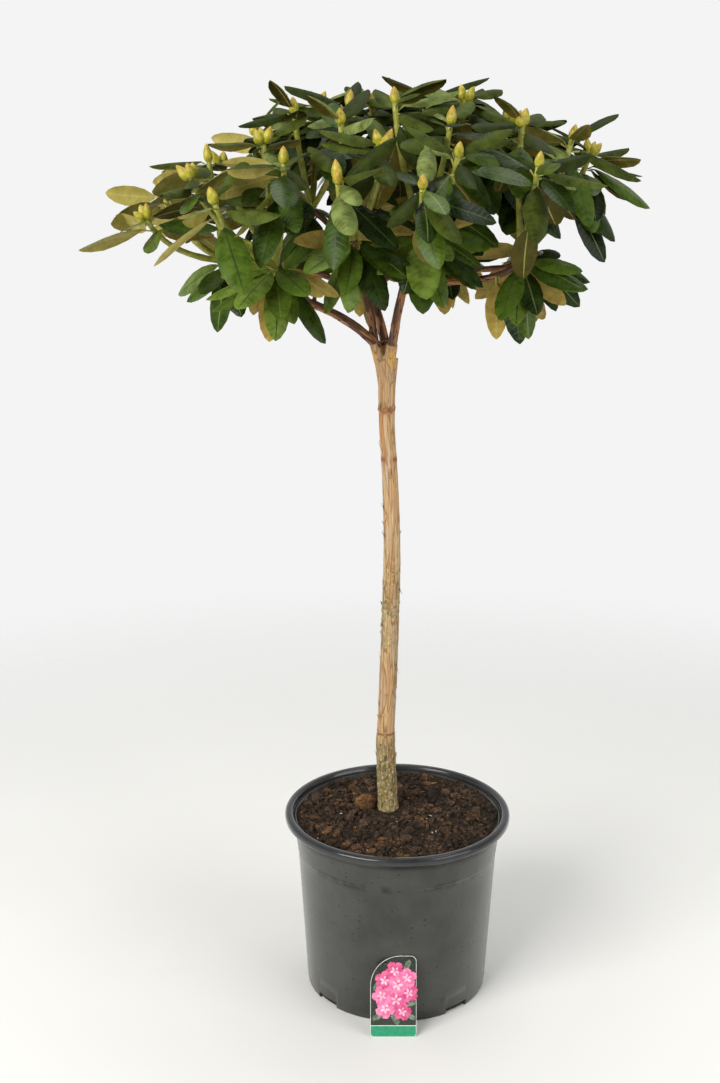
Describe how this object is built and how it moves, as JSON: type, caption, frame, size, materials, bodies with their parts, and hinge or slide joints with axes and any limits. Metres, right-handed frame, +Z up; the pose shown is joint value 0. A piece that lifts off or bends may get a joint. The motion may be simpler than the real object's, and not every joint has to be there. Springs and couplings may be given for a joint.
{
  "type": "standard rhododendron in a nursery pot",
  "caption": "Standard rhododendron: a bare stem in a round black nursery pot, forking into limbs under a flat, open crown of leathery leaves and buds.",
  "frame": {"origin": "centre of the pot's flat underside", "axes": "+Z up, -Y the front with the leaning label, +X to the right as seen from the front"},
  "size_m": [0.7514, 0.7212, 1.3526],
  "materials": {
    "pot": "black polyethylene, slightly glossy and damp",
    "soil": "moist dark compost with bark chips",
    "label": "printed glossy plastic card",
    "bark": "pale, thin, flaking bark",
    "limb_bark": "dark red-brown peeling bark",
    "foliage": "leathery, slightly glossy evergreen leaves"
  },
  "bodies": {
    "root": {"pot": "pot", "soil": "soil", "label": "label", "stem": "bark", "bough_left": "limb_bark", "bough_front": "limb_bark", "bough_back": "limb_bark", "bough_centre": "limb_bark", "bough_left_front": "limb_bark", "bough_back_left": "limb_bark", "bough_back_right": "limb_bark", "bough_right_front": "limb_bark", "bough_right": "limb_bark", "bough_front_left": "limb_bark", "bough_top_right": "limb_bark", "bough_top_back": "limb_bark", "foliage_left": "foliage", "foliage_front": "foliage", "foliage_back": "foliage", "foliage_centre": "foliage", "foliage_left_front": "foliage", "foliage_back_left": "foliage", "foliage_back_right": "foliage", "foliage_right_front": "foliage", "foliage_right": "foliage", "foliage_front_left": "foliage", "foliage_top_right": "foliage", "foliage_top_back": "foliage"}
  },
  "joints": []
}
